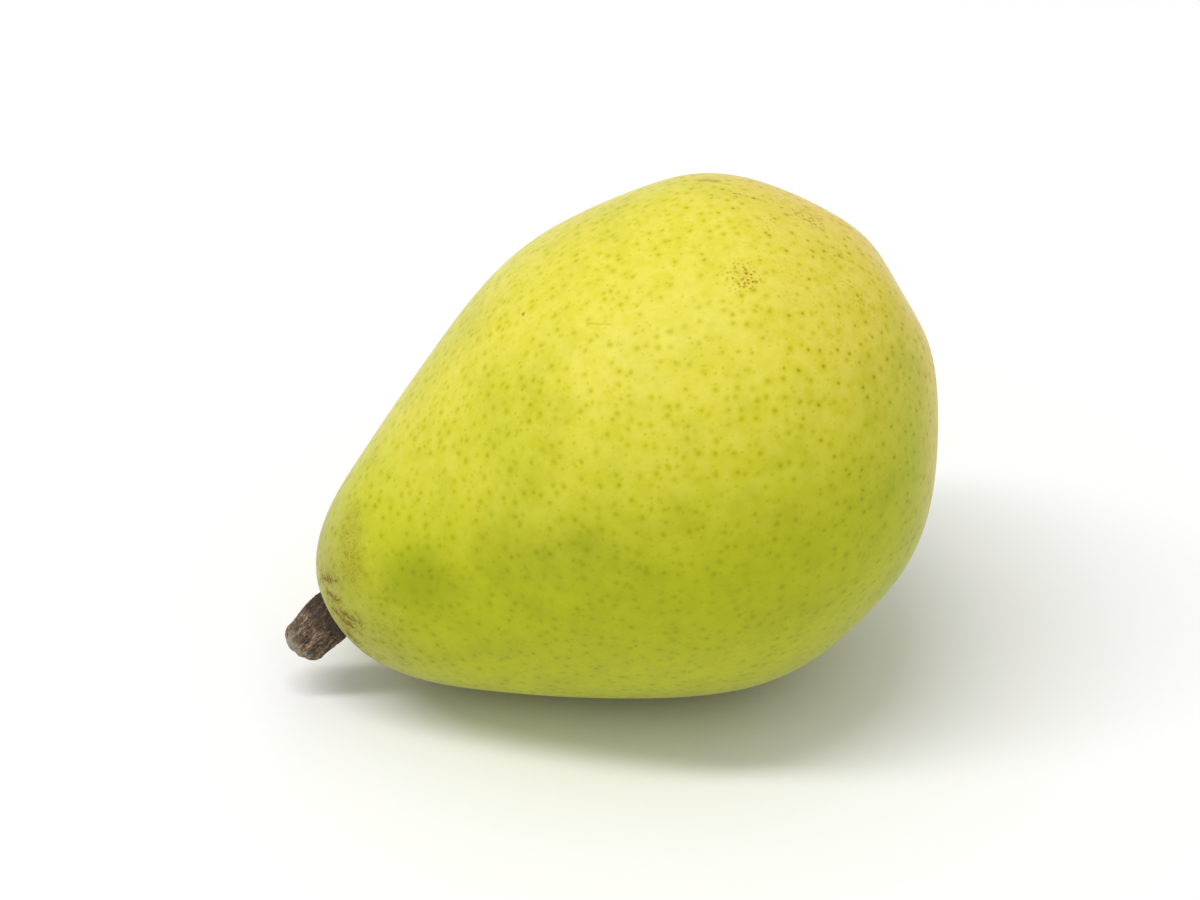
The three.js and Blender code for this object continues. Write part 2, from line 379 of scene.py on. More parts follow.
class ShapeTree(Tree):
    """A Geometry Nodes tree with named inputs for its sizes."""

    def __init__(self, name, sizes):
        super().__init__(bpy.data.node_groups.new(name, "GeometryNodeTree"))
        self.sizes = sizes
        face = self.tree.interface
        face.new_socket("Geometry", in_out="INPUT", socket_type="NodeSocketGeometry")
        for label, value in sizes.items():
            kind = "NodeSocketInt" if isinstance(value, int) else "NodeSocketFloat"
            face.new_socket(label, in_out="INPUT", socket_type=kind)
        face.new_socket("Geometry", in_out="OUTPUT", socket_type="NodeSocketGeometry")
        self.source = self.node("NodeGroupInput")

    def size(self, label):
        return self.out(self.source, label)

    def position(self):
        return self.field("GeometryNodeInputPosition")

    def attribute(self, name, kind="FLOAT"):
        return self.field("GeometryNodeInputNamedAttribute", {"Name": name}, "Attribute", data_type=kind)

    def cylinder(self, grid, radius=1.0, **settings):
        inputs = {**grid, "Radius": radius, "Depth": 1.0}
        return self.field("GeometryNodeMeshCylinder", inputs, "Mesh", **settings)

    def store(self, geometry, name, value, kind="FLOAT"):
        inputs = {"Geometry": geometry, "Name": name, "Value": value}
        return self.field("GeometryNodeStoreNamedAttribute", inputs, data_type=kind)

    def move(self, geometry, place):
        return self.field("GeometryNodeSetPosition", {"Geometry": geometry, "Position": place})

    def flip(self, geometry):
        """The faces of a mesh that its moves mirrored, turned to point outwards again."""
        return self.field("GeometryNodeFlipFaces", {"Mesh": geometry})

    def lay_down(self, across, along, up):
        """A place in the fruit's own frame as it is in the pear that lies on the floor."""
        tilt = self.size("Tilt")
        x = along * tilt.cos() - up * tilt.sin() + self.size("Place X")
        z = along * tilt.sin() + up * tilt.cos() + self.size("Place Z")
        return x, self.size("Place Y") - across, z

    def finish(self, geometry, material):
        smooth = self.field("GeometryNodeSetShadeSmooth", {"Geometry": geometry})
        whole = self.field("GeometryNodeRealizeInstances", {"Geometry": smooth})
        done = self.field("GeometryNodeSetMaterial", {"Geometry": whole, "Material": material})
        self.node("NodeGroupOutput", {"Geometry": done})

    def grow(self, name, start=None):
        """Runs the tree once on the start mesh and keeps the result as a plain mesh."""
        piece = add_object(name, start or bpy.data.meshes.new(name + "_start"))
        modifier = piece.modifiers.new("Shape", "NODES")
        modifier.node_group = self.tree
        for item in self.tree.interface.items_tree:
            if item.in_out == "INPUT" and item.name in self.sizes:
                modifier[item.identifier] = self.sizes[item.name]
        depsgraph = bpy.context.evaluated_depsgraph_get()
        mesh = bpy.data.meshes.new_from_object(piece.evaluated_get(depsgraph), depsgraph=depsgraph)
        piece.modifiers.clear()
        piece.data = mesh
        if not mesh.polygons:
            raise RuntimeError(f"{name} has no faces")
        return piece


def named(group, *keys):
    """The group's sizes as named inputs, under the names that the group gives them."""
    return {group.bl_rna.properties[key].name: getattr(group, key) for key in keys}


def along_axes(label, place):
    """A place as three named inputs."""
    return {f"{label} {axis}": part for axis, part in zip("XYZ", place)}


def pose_sizes(fruit):
    """The named inputs that say how the pear lies."""
    return {**named(fruit, "tilt"), **along_axes("Place", fruit.place)}


def eye_hinge(fruit):
    """The direction that the eye's axis is turned about, from the core's own line."""
    return Vector((fruit.eye_up, 0, -fruit.eye_across)).normalized()


def eye_axis(fruit):
    """The direction from the bottom of the basin to its mouth, in the fruit's own frame."""
    return Matrix.Rotation(fruit.eye_lean, 3, eye_hinge(fruit)) @ Vector((0, 1, 0))


class SurfaceTree(Tree):
    """A material's node tree, with the maths of colours."""

    def __init__(self, name):
        self.material = bpy.data.materials.new(name)
        self.material.use_nodes = True
        super().__init__(self.material.node_tree)
        self.tree.nodes.clear()

    def stored(self, name, output="Fac"):
        """What the shape has stored on its points under the name."""
        return self.field("ShaderNodeAttribute", None, output, attribute_name=name)

    def blend(self, mask, first, second, mode="MIX"):
        """Colour first where the mask is 0, and second where it is 1."""
        colours = {0: mask, 6: first, 7: second}
        return self.field("ShaderNodeMix", colours, 2, data_type="RGBA", blend_type=mode)

    def distance(self, first, second):
        return self.number("DISTANCE", first, second)

    def spots(self, place, normal, size, randomness=0.85):
        """Scattered round spots: the distance along the surface to the nearest one, how near the
        surface its middle lies, from 0 to 1, and three random numbers for it."""
        inputs = {"Vector": place, "Scale": 1 / size, "Randomness": randomness}
        cells = self.node("ShaderNodeTexVoronoi", inputs)
        offset = self.vector("SUBTRACT", self.out(cells, "Position"), place)
        reach = self.number("LENGTH", offset)
        depth = self.number("DOT_PRODUCT", offset, normal)
        distance = (reach * reach - depth * depth).at_least(0.0).root()
        shallow = depth.unsigned().rise(DEEP_SPOT * size, SHALLOW_SPOT * size)
        return distance, shallow, self.split(self.out(cells, "Color"))

    def line(self, place, start, end):
        """The distance to the straight line between two points."""
        start, end = Vector(start), Vector(end)
        run = end - start
        offset = self.vector("SUBTRACT", place, start)
        passed = self.number("DOT_PRODUCT", offset, run / run.length_squared)
        return self.distance(offset, self.scale(run, passed.at_least(0.0).at_most(1.0)))

    def drift(self, place, size, amount):
        """The place moved about by clouds of the given size."""
        inputs = {"Vector": place, "Scale": 1 / size, "Detail": 3.0}
        cloud = self.field("ShaderNodeTexNoise", inputs, "Color")
        shift = self.vector("SUBTRACT", cloud, (0.5, 0.5, 0.5))
        return self.vector("MULTIPLY_ADD", shift, (amount, amount, amount), place)

    def shader(self, constants, varying):
        """The surface itself, from numbers that hold all over and from what changes over it."""
        surface = self.field("ShaderNodeBsdfPrincipled", {**constants, **varying})
        self.node("ShaderNodeOutputMaterial", {"Surface": surface})
        return self.material

    def bump(self, height, depth):
        """A normal that follows the height, with depth in metres at height 1."""
        return self.field("ShaderNodeBump", {"Distance": depth, "Height": height})


# ---------------- fruit


def cosine_series(values):
    """The cosine series that passes through the values at equal angles."""
    last = len(values) - 1

    def end_share(k):
        return 0.5 if k in (0, last) else 1.0

    def term(k):
        parts = (end_share(j) * value * math.cos(k * j * math.pi / last) for j, value in enumerate(values))
        return end_share(k) * 2 / last * sum(parts)

    return [term(k) for k in range(last + 1)]


def fruit_inputs(fruit):
    """The fruit's sizes as the tree's inputs, with its half-widths as the terms of a series."""
    hollows = ("dimple_depth", "dimple_spread", "flat_depth", "flat_spread", "basin_depth", "basin_spread")
    terms = cosine_series(list(fruit.half_widths))
    return {
        **named(fruit, "segments", "rings", "core", "core_rise", "core_sag", "eye_across", "eye_up"),
        **named(fruit, *hollows, "eye_ribs", "neck_ribs", "dents", "puckers"),
        **pose_sizes(fruit),
        **{f"Width term {k}": value for k, value in enumerate(terms)},
    }


def series_sum(tree, cosine, count):
    """The sum of the width terms, each times the cosine of its multiple of the angle."""
    later, last = 0.0, 0.0
    for k in reversed(range(1, count)):
        later, last = tree.size(f"Width term {k}") + 2 * cosine * later - last, later
    return tree.size("Width term 0") + cosine * later - last


def fruit_tree(fruit, material):
    """Grows the skin from a sphere whose upper pole becomes the stem end."""
    tree = ShapeTree("Fruit skin", fruit_inputs(fruit))
    size = tree.size
    fineness = {"Segments": size("Segments"), "Rings": size("Rings")}
    sphere = tree.field("GeometryNodeMeshUVSphere", fineness, "Mesh")
    x, y, cosine = tree.split(tree.position())
    turn = tree.math("ARCTAN2", y, -x)
    steep = tree.math("ARCCOSINE", cosine)
    ring = (1 - cosine * cosine).at_least(0.0).root()
    along = (1 - cosine) * 0.5

    eye_fade = steep.rise(0.6 * math.pi, 0.95 * math.pi) * size("Eye ribs")
    neck_fade = steep.rise(0.4 * math.pi, 0.08 * math.pi) * size("Neck ribs")
    swell = 1 + eye_fade * (EYE_RIBS * turn + 0.6).cos() + neck_fade * (NECK_RIBS * turn - 1).cos()
    swell = swell + 0.0035 * (3 * turn + 4 * steep + 0.4).sin()
    swell = swell + 0.003 * (2 * turn - 7 * steep + 2).sin()
    width = series_sum(tree, cosine, len(fruit.half_widths)) * swell

    dents = tree.noise(tree.position(), 0.42, 1.5) - 0.5
    folds = tree.noise(tree.join(turn.cos(), turn.sin(), 0.35 * steep), 0.16, 2.0, 0.6) - 0.5
    near_stem = steep.rise(0.62, 0.24)
    width = width + dents * size("Dents") * 2 + folds * near_stem * size("Puckers")

    across = x * width
    up = y * width
    radius = ring * width
    stem_side = cosine.above(0.0)

    def hollow(label, distance):
        return size(f"{label} depth") * (-((distance / size(f"{label} spread")) ** 2)).exp()

    ends = stem_side * hollow("Dimple", radius) - (1 - stem_side) * hollow("Flat end", radius)
    from_eye = ((across - size("Eye across")) ** 2 + (up - size("Eye up")) ** 2).root()
    basin = (1 - stem_side) * hollow("Basin", from_eye)
    sunk_x, sunk_y, sunk_z = (basin * part for part in eye_axis(fruit))
    core = size("Core rise") * (1 - along) ** 2 - size("Core sag") * (math.pi * along).sin()

    down_core = size("Core length") * along + ends
    lying_x, lying_y, lying_z = tree.lay_down(across - sunk_x, down_core - sunk_y, core + up - sunk_z)
    tree.finish(tree.move(sphere, tree.join(lying_x, lying_y, lying_z.at_least(0.0))), material)
    return tree


# Places on the skin, in millimetres: across, along the core, up.
# Cheeks where the skin is greener and darker: partly its own colour, partly painted shade.
GREEN_AND_SHADED_CHEEKS = ((15.8, 17.6, 9.8), (23.5, 30.5, 10.5), (28.0, 39.0, 9.0))
GREENER_SHOULDERS = ((14.5, 39.0, 23.5), (-9.1, 34.8, 24.2))
SPECKLED_PATCH = (13.0, 74.3, 23.3)
DARK_DOTS = (-0.3, 84.2, 17.5)
DARK_PORE = (4.0, 47.1, 29.5)
SCUFF = ((-9.0, 74.8, 25.1), (-8.2, 76.2, 24.4))
SHORT_STREAKS = (((-3.6, 77.6, 24.4), (-3.0, 78.8, 23.5)), ((-2.8, 79.2, 23.1), (-2.2, 80.2, 22.3)))
SCRATCH = ((11.8, 54.3, 28.3), (13.5, 57.0, 27.5))
DUSTY_BAND = ((3.9, 12.7, 15.6), (8.5, 9.3, 11.5))
STEM_CRACKS = (
    ((3.4, 4.3, 9.4), (6.5, 6.0, 10.1)),
    ((5.2, 4.0, 8.1), (7.3, 5.0, 7.9)),
    ((6.3, 3.5, 6.0), (7.6, 3.9, 5.0)),
    ((7.4, 3.8, 5.3), (9.4, 4.8, 4.2)),
    ((8.0, 4.6, 6.3), (10.5, 6.1, 5.2)),
    ((7.4, 3.2, 2.8), (8.2, 3.6, 1.0)),
)
STEM_CRUST = (8.0, 4.3, 5.2)

# What holds all over the skin: its gloss, its translucent flesh, its wax and its bloom.
SKIN_BODY = {
    "IOR": 1.42,
    "Specular IOR Level": 0.22,
    "Subsurface Weight": 0.12,
    "Subsurface Radius": (1.0, 0.75, 0.12),
    "Subsurface Scale": 0.0012,
    "Coat Roughness": 0.42,
    "Coat IOR": 1.38,
    "Sheen Weight": 0.24,
    "Sheen Roughness": 0.35,
    "Sheen Tint": (1.0, 0.97, 0.86),
}


def skin_material(finish, fruit):
    """Waxy yellow-green skin with soft pores, greener and browner places, and russet at both ends. Greener
    skin below and at the cheeks is partly its own colour and partly painted shade; the corky collar at the
    stem's foot is darkened by painted contact shade; the rim turned from the camera at the eye end is partly
    tan and partly painted rim light.
    """
    tree = SurfaceTree("Pear skin")
    blend, noise = tree.blend, tree.noise
    source = tree.node("ShaderNodeTexCoord")
    laid = {"Location": fruit.place, "Rotation": (fruit.tilt, 0.0, -math.pi / 2), "Scale": (MM, MM, MM)}
    inputs = {"Vector": tree.out(source, "Object"), **laid}
    place = tree.field("ShaderNodeMapping", inputs, vector_type="TEXTURE")
    across, along, up = tree.split(place)
    upright = tree.scale(tree.out(source, "Object"), 1 / MM)
    normal = tree.out(source, "Normal")

    def near(centre, inner, outer, stretch=(1, 1, 1)):
        """1 within the inner distance of a place, fading to 0 at the outer one."""
        squeezed = tree.vector("MULTIPLY", place, stretch)
        middle = tuple(c * s for c, s in zip(centre, stretch))
        return tree.distance(squeezed, middle).rise(outer, inner)

    def to_lines(marks):
        """The distance to the nearest of the lines, which waver a little."""
        wavering = tree.drift(place, 0.9, 1.5)
        nearest = tree.line(wavering, *marks[0])
        for mark in marks[1:]:
            nearest = nearest.at_most(tree.line(wavering, *mark))
        return nearest

    # Broad zones: ripe above; greener below and towards the neck, partly the skin's own colour and partly
    # painted shade; dull at the neck and a little along the underside; tan at the eye end, with painted rim
    # light on the rim turned from the camera.
    clouds = noise(place, 22, 2.5) - 0.5
    # The skin turns greener and darker below: partly its own colour, partly painted shade.
    level = up + 0.3 * along - 0.13 * across
    shoulders = sum(near(centre, 2, 13) for centre in GREENER_SHOULDERS)
    greenness_and_shade = ((level + 15 * clouds).rise(40, 9) + 0.35 * shoulders).at_most(1.0)
    colour = blend(greenness_and_shade, finish.ripe, finish.green)
    # Darker green cheeks on the lower side towards the camera: partly own colour, partly painted shade.
    cheeks_and_shade = sum(0.55 * near(centre, 1, 8.5) for centre in GREEN_AND_SHADED_CHEEKS) + 0.55 * near(GREEN_AND_SHADED_CHEEKS[0], 1, 7)
    patches = noise(place, 6.0, 3.0, 0.6).rise(0.44, 0.7)
    cheek_shade_and_patches = (0.75 * cheeks_and_shade + (0.11 + 0.2 * greenness_and_shade) * patches).at_most(0.9)
    colour = blend(cheek_shade_and_patches, colour, finish.cheek_green_and_shade)
    # The half turned from the camera at the eye end gets more tan: partly real tan, partly painted rim light
    # on the seen rim.
    far_rim_tan_and_light = along.rise(68, 84) * (0.79 * across + 0.61 * up).rise(13, 2) * up.rise(-30, -8)
    tan_and_rim_light = along.rise(68, 95) * up.rise(-16, 22) * (0.75 + clouds) + 0.7 * far_rim_tan_and_light
    colour = blend(tan_and_rim_light.at_most(1.0), colour, finish.tan)
    dull = along.rise(16, 3) * (0.8 + 1.2 * clouds) + 0.2 * up.rise(-17, -26)
    colour = blend(dull * 0.75, colour, finish.neck)

    # Mottled flesh below the skin, and its fine grain.
    mottle = noise(upright, 2.6, 3.5, 0.62).rise(0.38, 0.66)
    colour = blend(mottle * 0.85, colour, finish.mottle, "MULTIPLY")
    grain = noise(upright, 0.8, 3.0, 0.6) - 0.5
    colour = blend((0.5 + 1.3 * grain) * 0.16, colour, finish.cheek_green_and_shade)

    # Pores: soft round spots, each in a small deeper coloured place. Some have a dark or a corky middle.
    neck_end = along.rise(26, 6)
    eye_end = along.rise(64, 80)
    distance, shallow, (pick, size, strength) = tree.spots(upright, normal, PORE_SPACING)
    shown = shallow * pick.rise(0.0, 0.3) * (0.5 + 0.5 * strength)
    beds = distance.rise(1.1, 0.2) * shown
    pores = distance.rise(0.42 + 0.2 * size, 0.04) * shown
    colour = blend(beds * 0.9, colour, finish.mottle, "MULTIPLY")
    colour = blend(pores, colour, finish.pore, "MULTIPLY")
    middles = distance.rise(0.18, 0.04) * shallow * pick.rise(0.72 - 0.1 * neck_end, 0.9) * (1 - eye_end)
    corky = distance.rise(0.3, 0.08) * shallow * pick.rise(0.55, 0.9) * eye_end
    distance, shallow, (pick, _, strength) = tree.spots(upright, normal, SMALL_PORE_SPACING)
    small = distance.rise(0.32, 0.04) * shallow * pick.rise(0.25, 0.85) * (0.4 + 0.6 * strength)
    colour = blend(small * 0.9, colour, finish.pore, "MULTIPLY")
    colour = blend(middles * (0.14 + 0.16 * neck_end), colour, finish.scar_and_shade)

    # Corky flecks: dust at the neck, dots at the eye end, and the marked places.
    distance, shallow, (pick, _, _) = tree.spots(upright, normal, FLECK_SPACING)
    dots = distance.rise(0.27, 0.06) * shallow * pick.rise(0.2, 0.6)
    specks = noise(upright, 0.4).rise(0.46, 0.7)
    band = tree.line(place, *DUSTY_BAND).rise(3.4, 0.5)
    neck_dust = along.rise(19, 7) * noise(place, 4.0, 2.5).rise(0.44, 0.66) * specks
    rim_dust = along.rise(74, 86) * up.rise(4, 16) * noise(place, 5.0, 2.5).rise(0.46, 0.66) * dots
    speckled = near(SPECKLED_PATCH, 0.8, 3.4) * dots + 0.7 * near(SPECKLED_PATCH, 0.2, 1.7) * specks
    dotted = near(DARK_DOTS, 0.6, 3.6, (1.3, 1, 1)) * dots
    scuffed = tree.line(place, *SCUFF).rise(1.2, 0.2) * noise(place, 0.8).rise(0.3, 0.55)
    scratched = tree.line(place, *SCRATCH).rise(0.22, 0.06) * noise(place, 0.7).rise(0.25, 0.5)
    dust = band * (0.2 + 0.27 * specks) + neck_dust * 0.4
    colour = blend(dust.at_most(1.0), colour, finish.crumb, "MULTIPLY")
    flecks = corky * 0.5 + rim_dust * 0.8 + speckled + scuffed * 0.6 + scratched * 0.3
    colour = blend(flecks.at_most(1.0), colour, finish.fleck, "MULTIPLY")
    streaked = to_lines(SHORT_STREAKS).rise(0.34, 0.08) * noise(place, 0.5).rise(0.38, 0.55)
    scars = near(DARK_PORE, 0.14, 0.4) * 0.65 + streaked * 0.6 + dotted * 0.6
    colour = blend(scars.at_most(1.0), colour, finish.scar_and_shade)

    # Russet: cracks and curly wisps round the stem, a corky collar at its foot that is also darkened as
    # painted contact shade, and a corky bed round the eye.
    from_core = (across * across + (up - 1) * (up - 1)).root()
    curls = (noise(place, 2.6, 2.5, 0.6, 1.2) - 0.5).unsigned().rise(0.085, 0.02)
    scales = noise(place, 3.4, 3.0, 0.6).rise(0.38, 0.54)
    wisps = curls * scales * along.rise(9, 3) * from_core.rise(14, 8)
    to_crack = to_lines(STEM_CRACKS)
    broken = noise(place, 0.55, 2.5).rise(0.36, 0.56)
    twigs = (noise(place, 1.3, 3.0, 0.6, 1.0) - 0.5).unsigned().rise(0.08, 0.015)
    cracks = to_crack.rise(0.5, 0.1) * broken
    crust = near(STEM_CRUST, 0.3, 2.2) * broken + twigs * to_crack.rise(2.2, 0.4)
    collar_and_contact_shade = from_core.rise(5.2, 3.6) * along.rise(9, 3) * (0.45 + 0.55 * broken)
    stem_russet = (0.6 * wisps + 0.7 * crust + cracks + 0.85 * collar_and_contact_shade).at_most(1.0)
    colour = blend(stem_russet * 0.85, colour, finish.russet)
    # The collar is darkened here as painted contact shade where the stalk meets the fruit.
    colour = blend((cracks * 0.6).at_least(collar_and_contact_shade * 0.45), colour, finish.scar_and_shade)
    from_mouth = tree.distance(place, tuple(part / MM for part in fruit.mouth))
    bed = (from_mouth + 9 * (noise(place, 2.4, 3.5, 0.6) - 0.5)).rise(9.5, 6)
    colour = blend(bed * 0.8, colour, finish.golden)
    russet = stem_russet.at_least(bed)

    height = grain - 0.5 * pores - 0.3 * small + 1.5 * russet * (0.5 + grain)
    roughness = finish.roughness + 0.14 * grain + 0.14 * pores + 0.3 * russet
    wax = finish.wax * (1 - russet) * (1.25 - 1.1 * greenness_and_shade)
    relief = tree.bump(height, SKIN_RELIEF)
    varying = {"Base Color": colour, "Roughness": roughness, "Coat Weight": wax, "Normal": relief}
    return tree.shader(SKIN_BODY, varying)


# ---------------- stem


def core_height(fruit, along):
    """Height of the core above the straight line between its ends."""
    return fruit.core_rise * (1 - along) ** 2 - fruit.core_sag * math.sin(math.pi * along)


def stem_inputs(stem, fruit):
    """The stalk's sizes, with the three points of its bend in the fruit's own frame."""
    slope = fruit.tilt - stem.droop
    foot = Vector((0, fruit.dimple_depth, core_height(fruit, 0) + stem.lift))
    start = foot + stem.sunk * Vector((0, 1, -stem.rise)).normalized()
    end = foot + stem.out * Vector((0, -math.cos(slope), math.sin(slope)))
    return {
        **named(stem, "radius", "sunk", "tip_round", "tip_share", "flare", "flare_spread"),
        **named(stem, "ridges", "lumps", "cracks"),
        **pose_sizes(fruit),
        **along_axes("Start", start),
        **along_axes("Middle", foot),
        **along_axes("End", end),
    }


def stem_tree(stem, fruit, material):
    """Sweeps a scaly stalk along its bend, from inside the dimple to the blunt free end."""
    tree = ShapeTree("Stalk", stem_inputs(stem, fruit))
    size = tree.size

    def bend_point(label):
        return tree.join(*(size(f"{label} {axis}") for axis in "XYZ"))

    bend = {label: bend_point(label) for label in ("Start", "Middle", "End")}
    curve = tree.field("GeometryNodeCurveQuadraticBezier", {"Resolution": BEND_STEPS, **bend})
    reach = tree.field("GeometryNodeCurveLength", {"Curve": curve})

    tube = tree.cylinder(STEM_GRID, fill_type="TRIANGLE_FAN")
    x, y, level = tree.split(tree.position())
    along = (level + 0.5) * reach
    from_end = reach - along
    ring = (x * x + y * y).root()
    turn = tree.math("ARCTAN2", y, x)

    flare = size("Flare") * (-(((along - size("Sunk")) / size("Flare spread")) ** 2)).exp()
    rounding = (1 - from_end / size("Tip rounding")).at_least(0.0)
    closing = (1 - size("Tip closing") * rounding * rounding).root()
    radius = (size("Radius") + flare) * closing
    ridges = size("Bark ridges") * (BARK_RIDGES * turn + 250 * along).sin()
    lumps = size("Bark lumps") * (BARK_LUMPS * turn + 900 * along).sin()

    # The bark is patterned on the straight stalk, in millimetres, so that it follows the bend.
    bark_x, bark_y = x * BARK_RADIUS, y * BARK_RADIUS
    bark = tree.join(bark_x, bark_y, along * 1000)
    drift = tree.join(tree.noise(bark, 0.9, 3.0), tree.noise(bark, 0.7, 3.0), 2 * tree.noise(bark, 1.6))
    flakes = tree.vector("ADD", tree.join(bark_x, bark_y, along * 420), drift)
    crack = tree.to_edge(flakes, FLAKE_SIZE).rise(0.1, 0.0) * tree.noise(bark, 1.1).rise(0.4, 0.62)
    fibre = tree.noise(tree.join(x * 8, y * 8, along * 800), 1.0, 4.5, 0.68, 0.5) - 0.5
    depth = size("Bark cracks")
    grown = radius + ridges + lumps + depth * (1.6 * fibre - 0.5 * crack)
    dome = size("Tip rounding") * 0.12 * (1 - ring * ring) + depth * fibre * 0.5
    at_tip = level.above(0.499)

    tagged = tree.store(tube, "bark", bark, "FLOAT_VECTOR")
    tagged = tree.store(tagged, "crack", crack)
    sample = tree.node("GeometryNodeSampleCurve", {"Curves": curve, "Length": along}, mode="LENGTH")
    tangent = tree.out(sample, "Tangent")
    over = tree.vector("CROSS_PRODUCT", (1.0, 0.0, 0.0), tangent)
    out = at_tip * dome
    _, line_y, line_z = tree.split(tree.out(sample, "Position"))
    _, over_y, over_z = tree.split(over)
    _, tangent_y, tangent_z = tree.split(tangent)
    side = y * grown
    lying = tree.lay_down(
        x * grown,
        line_y + over_y * side + tangent_y * out,
        line_z + over_z * side + tangent_z * out,
    )
    tree.finish(tree.flip(tree.move(tagged, tree.join(*lying))), material)
    return tree


def bark_material(finish):
    """Scaly brown bark with dark cracks, fresh flakes and grey weathering, and painted shade that darkens it
    towards the fruit.
    """
    tree = SurfaceTree("Stem bark")
    bark = tree.stored("bark", "Vector")
    crack = tree.stored("crack")
    _, _, along = tree.split(bark)
    streaks = tree.noise(tree.vector("MULTIPLY", bark, (3.2, 3.2, 1.1)), 1.0, 4.5, 0.72, 0.8)
    blotch = tree.noise(bark, 1.4, 3.0, 0.6)
    colour = tree.blend(blotch.rise(0.38, 0.66), finish.brown, tuple(c * 0.5 for c in finish.brown))
    colour = tree.blend(streaks.rise(0.5, 0.38) * 0.9, colour, finish.dark)
    colour = tree.blend(streaks.rise(0.53, 0.64) * 0.8, colour, finish.grey)
    drawn_out = tree.vector("MULTIPLY", bark, (1.6, 1.6, 0.8))
    flecks = tree.noise(drawn_out, 1.0, 3.0, 0.6, 0.6).rise(0.6, 0.66)
    colour = tree.blend(flecks * 0.85, colour, finish.fresh)
    tip = along.rise(8.8, 11.0) * tree.noise(bark, 2.0, 3.0).rise(0.46, 0.6)
    colour = tree.blend(tip * 0.75, colour, finish.grey)
    # Dark in the cracks, and painted shade that darkens the bark towards the fruit, where the stalk sits in
    # the dimple.
    colour = tree.blend((crack * 0.7).at_least(along.rise(7.6, 5.0) * 0.75), colour, finish.dark)
    grit = tree.noise(bark, 0.26, 4.0, 0.7)
    roughness = 0.78 + 0.18 * (grit - 0.5)
    relief = tree.bump(streaks + 0.6 * grit + flecks * 0.5, BARK_RELIEF)
    varying = {"Base Color": colour, "Roughness": roughness, "Normal": relief}
    return tree.shader({"IOR": 1.4, "Specular IOR Level": 0.35}, varying)


# ---------------- calyx


def seeded(seed):
    """Numbers from 0 to 1 that are the same on every run."""
    state = seed
    while True:
        state = state * SEED_STEP % SEED_RANGE
        yield state / SEED_RANGE


def calyx_points(calyx):
    """One point for each sepal and stamen, with its turn, reach, foot, lean and curl."""
    numbers = seeded(CALYX_SEED)
    rows = []
    for i in range(calyx.sepals):
        turn = math.tau * (i + 0.25 * next(numbers)) / calyx.sepals
        reach = SEPAL_LENGTH + next(numbers)
        curl = 0.1 + 0.2 * next(numbers)
        rows.append((0.0, turn, reach * MM, calyx.radius - calyx.root, 0.12, curl))
    for i in range(calyx.stamens):
        turn = math.tau * (i + 0.4 * next(numbers)) / calyx.stamens
        reach = STAMEN_LENGTH + next(numbers)
        foot = 0.5 + 0.7 * next(numbers)
        rows.append((1.0, turn, reach * MM, foot * MM, 0.0, 0.35))
    mesh = bpy.data.meshes.new("calyx_points")
    mesh.from_pydata([(0, 0, 0)] * len(rows), [], [])
    for column, name in enumerate(("thread", "turn", "reach", "foot", "lean", "curl")):
        values = mesh.attributes.new(name, "FLOAT", "POINT")
        values.data.foreach_set("value", [row[column] for row in rows])
    return mesh


